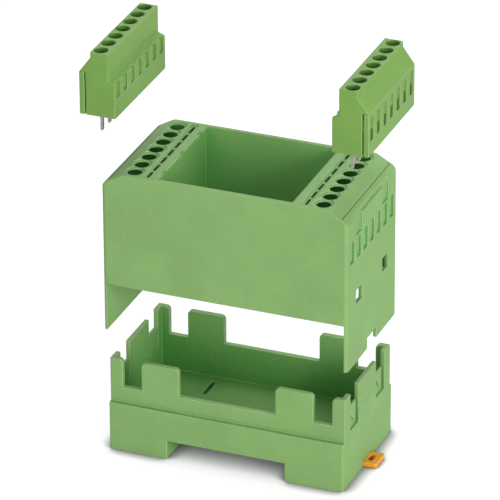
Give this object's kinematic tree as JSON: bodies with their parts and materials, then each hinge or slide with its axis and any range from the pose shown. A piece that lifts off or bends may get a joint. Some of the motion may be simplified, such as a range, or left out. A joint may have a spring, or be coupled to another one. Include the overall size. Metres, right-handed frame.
{
  "type": "din rail enclosure",
  "caption": "Green rail-mounted circuit enclosure shown taken apart: base tray with rail foot and latch, tall open-topped cover and rows of screw terminals.",
  "frame": {"origin": "centre of the rail seat, the face of the base that rests on the rail", "axes": "+X across the rail towards the latch, +Y along the rail, +Z away from the rail"},
  "size_m": [0.0838, 0.0384, 0.1217],
  "materials": {
    "green_base": "fine moulded texture",
    "green_cover": "fine moulded texture",
    "green_block": "smooth moulded",
    "orange_latch": "smooth moulded",
    "tinned_contact": "bright tin plating",
    "plated_screw": "zinc plating",
    "plated_cage": "zinc plating"
  },
  "bodies": {
    "base": {"base_housing": "green_base"},
    "latch": {"foot_latch": "orange_latch"},
    "cover": {"upper_housing": "green_cover", "left_block_housing": "green_block", "left_block_front": "green_block", "left_contacts": "tinned_contact", "right_block_housing": "green_block", "right_block_front": "green_block", "right_contacts": "tinned_contact"},
    "left_screw_1": {"left_clamp_screw_1": "plated_screw"},
    "left_cage_1": {"left_clamp_cage_1": "plated_cage"},
    "left_screw_2": {"left_clamp_screw_2": "plated_screw"},
    "left_cage_2": {"left_clamp_cage_2": "plated_cage"},
    "left_screw_3": {"left_clamp_screw_3": "plated_screw"},
    "left_cage_3": {"left_clamp_cage_3": "plated_cage"},
    "left_screw_4": {"left_clamp_screw_4": "plated_screw"},
    "left_cage_4": {"left_clamp_cage_4": "plated_cage"},
    "left_screw_5": {"left_clamp_screw_5": "plated_screw"},
    "left_cage_5": {"left_clamp_cage_5": "plated_cage"},
    "left_screw_6": {"left_clamp_screw_6": "plated_screw"},
    "left_cage_6": {"left_clamp_cage_6": "plated_cage"},
    "left_screw_7": {"left_clamp_screw_7": "plated_screw"},
    "left_cage_7": {"left_clamp_cage_7": "plated_cage"},
    "right_screw_1": {"right_clamp_screw_1": "plated_screw"},
    "right_cage_1": {"right_clamp_cage_1": "plated_cage"},
    "right_screw_2": {"right_clamp_screw_2": "plated_screw"},
    "right_cage_2": {"right_clamp_cage_2": "plated_cage"},
    "right_screw_3": {"right_clamp_screw_3": "plated_screw"},
    "right_cage_3": {"right_clamp_cage_3": "plated_cage"},
    "right_screw_4": {"right_clamp_screw_4": "plated_screw"},
    "right_cage_4": {"right_clamp_cage_4": "plated_cage"},
    "right_screw_5": {"right_clamp_screw_5": "plated_screw"},
    "right_cage_5": {"right_clamp_cage_5": "plated_cage"},
    "right_screw_6": {"right_clamp_screw_6": "plated_screw"},
    "right_cage_6": {"right_clamp_cage_6": "plated_cage"},
    "right_screw_7": {"right_clamp_screw_7": "plated_screw"},
    "right_cage_7": {"right_clamp_cage_7": "plated_cage"}
  },
  "joints": [
    {"name": "cover_lift", "type": "slide", "parent": "base", "child": "cover", "axis": [0, 0, 1], "range_m": [-0.037, 0]},
    {"name": "latch_pull", "type": "slide", "parent": "base", "child": "latch", "axis": [1, 0, 0], "range_m": [0, 0.003], "stiffness_N_per_m": 200},
    {"name": "left_screw_1_turn", "type": "hinge", "parent": "cover", "child": "left_screw_1", "pos_m": [-0.037, -0.01524, 0.1149], "axis": [0, 0, -1], "range_deg": [0, 1925]},
    {"name": "left_cage_1_rise", "type": "slide", "parent": "cover", "child": "left_cage_1", "axis": [0, 0, 1], "range_m": [0, 0.0024]},
    {"name": "left_screw_2_turn", "type": "hinge", "parent": "cover", "child": "left_screw_2", "pos_m": [-0.037, -0.01016, 0.1149], "axis": [0, 0, -1], "range_deg": [0, 1925]},
    {"name": "left_cage_2_rise", "type": "slide", "parent": "cover", "child": "left_cage_2", "axis": [0, 0, 1], "range_m": [0, 0.0024]},
    {"name": "left_screw_3_turn", "type": "hinge", "parent": "cover", "child": "left_screw_3", "pos_m": [-0.037, -0.00508, 0.1149], "axis": [0, 0, -1], "range_deg": [0, 1925]},
    {"name": "left_cage_3_rise", "type": "slide", "parent": "cover", "child": "left_cage_3", "axis": [0, 0, 1], "range_m": [0, 0.0024]},
    {"name": "left_screw_4_turn", "type": "hinge", "parent": "cover", "child": "left_screw_4", "pos_m": [-0.037, 0, 0.1149], "axis": [0, 0, -1], "range_deg": [0, 1925]},
    {"name": "left_cage_4_rise", "type": "slide", "parent": "cover", "child": "left_cage_4", "axis": [0, 0, 1], "range_m": [0, 0.0024]},
    {"name": "left_screw_5_turn", "type": "hinge", "parent": "cover", "child": "left_screw_5", "pos_m": [-0.037, 0.00508, 0.1149], "axis": [0, 0, -1], "range_deg": [0, 1925]},
    {"name": "left_cage_5_rise", "type": "slide", "parent": "cover", "child": "left_cage_5", "axis": [0, 0, 1], "range_m": [0, 0.0024]},
    {"name": "left_screw_6_turn", "type": "hinge", "parent": "cover", "child": "left_screw_6", "pos_m": [-0.037, 0.01016, 0.1149], "axis": [0, 0, -1], "range_deg": [0, 1925]},
    {"name": "left_cage_6_rise", "type": "slide", "parent": "cover", "child": "left_cage_6", "axis": [0, 0, 1], "range_m": [0, 0.0024]},
    {"name": "left_screw_7_turn", "type": "hinge", "parent": "cover", "child": "left_screw_7", "pos_m": [-0.037, 0.01524, 0.1149], "axis": [0, 0, -1], "range_deg": [0, 1925]},
    {"name": "left_cage_7_rise", "type": "slide", "parent": "cover", "child": "left_cage_7", "axis": [0, 0, 1], "range_m": [0, 0.0024]},
    {"name": "right_screw_1_turn", "type": "hinge", "parent": "cover", "child": "right_screw_1", "pos_m": [0.0358, -0.01524, 0.116], "axis": [0, 0, -1], "range_deg": [0, 1925]},
    {"name": "right_cage_1_rise", "type": "slide", "parent": "cover", "child": "right_cage_1", "axis": [0, 0, 1], "range_m": [0, 0.0024]},
    {"name": "right_screw_2_turn", "type": "hinge", "parent": "cover", "child": "right_screw_2", "pos_m": [0.0358, -0.01016, 0.116], "axis": [0, 0, -1], "range_deg": [0, 1925]},
    {"name": "right_cage_2_rise", "type": "slide", "parent": "cover", "child": "right_cage_2", "axis": [0, 0, 1], "range_m": [0, 0.0024]},
    {"name": "right_screw_3_turn", "type": "hinge", "parent": "cover", "child": "right_screw_3", "pos_m": [0.0358, -0.00508, 0.116], "axis": [0, 0, -1], "range_deg": [0, 1925]},
    {"name": "right_cage_3_rise", "type": "slide", "parent": "cover", "child": "right_cage_3", "axis": [0, 0, 1], "range_m": [0, 0.0024]},
    {"name": "right_screw_4_turn", "type": "hinge", "parent": "cover", "child": "right_screw_4", "pos_m": [0.0358, 0, 0.116], "axis": [0, 0, -1], "range_deg": [0, 1925]},
    {"name": "right_cage_4_rise", "type": "slide", "parent": "cover", "child": "right_cage_4", "axis": [0, 0, 1], "range_m": [0, 0.0024]},
    {"name": "right_screw_5_turn", "type": "hinge", "parent": "cover", "child": "right_screw_5", "pos_m": [0.0358, 0.00508, 0.116], "axis": [0, 0, -1], "range_deg": [0, 1925]},
    {"name": "right_cage_5_rise", "type": "slide", "parent": "cover", "child": "right_cage_5", "axis": [0, 0, 1], "range_m": [0, 0.0024]},
    {"name": "right_screw_6_turn", "type": "hinge", "parent": "cover", "child": "right_screw_6", "pos_m": [0.0358, 0.01016, 0.116], "axis": [0, 0, -1], "range_deg": [0, 1925]},
    {"name": "right_cage_6_rise", "type": "slide", "parent": "cover", "child": "right_cage_6", "axis": [0, 0, 1], "range_m": [0, 0.0024]},
    {"name": "right_screw_7_turn", "type": "hinge", "parent": "cover", "child": "right_screw_7", "pos_m": [0.0358, 0.01524, 0.116], "axis": [0, 0, -1], "range_deg": [0, 1925]},
    {"name": "right_cage_7_rise", "type": "slide", "parent": "cover", "child": "right_cage_7", "axis": [0, 0, 1], "range_m": [0, 0.0024]}
  ],
  "couplings": [
    {"joint": "left_screw_1_turn", "follows": "left_cage_1_rise", "rad_per_m": 13963},
    {"joint": "left_screw_2_turn", "follows": "left_cage_2_rise", "rad_per_m": 13963},
    {"joint": "left_screw_3_turn", "follows": "left_cage_3_rise", "rad_per_m": 13963},
    {"joint": "left_screw_4_turn", "follows": "left_cage_4_rise", "rad_per_m": 13963},
    {"joint": "left_screw_5_turn", "follows": "left_cage_5_rise", "rad_per_m": 13963},
    {"joint": "left_screw_6_turn", "follows": "left_cage_6_rise", "rad_per_m": 13963},
    {"joint": "left_screw_7_turn", "follows": "left_cage_7_rise", "rad_per_m": 13963},
    {"joint": "right_screw_1_turn", "follows": "right_cage_1_rise", "rad_per_m": 13963},
    {"joint": "right_screw_2_turn", "follows": "right_cage_2_rise", "rad_per_m": 13963},
    {"joint": "right_screw_3_turn", "follows": "right_cage_3_rise", "rad_per_m": 13963},
    {"joint": "right_screw_4_turn", "follows": "right_cage_4_rise", "rad_per_m": 13963},
    {"joint": "right_screw_5_turn", "follows": "right_cage_5_rise", "rad_per_m": 13963},
    {"joint": "right_screw_6_turn", "follows": "right_cage_6_rise", "rad_per_m": 13963},
    {"joint": "right_screw_7_turn", "follows": "right_cage_7_rise", "rad_per_m": 13963}
  ]
}
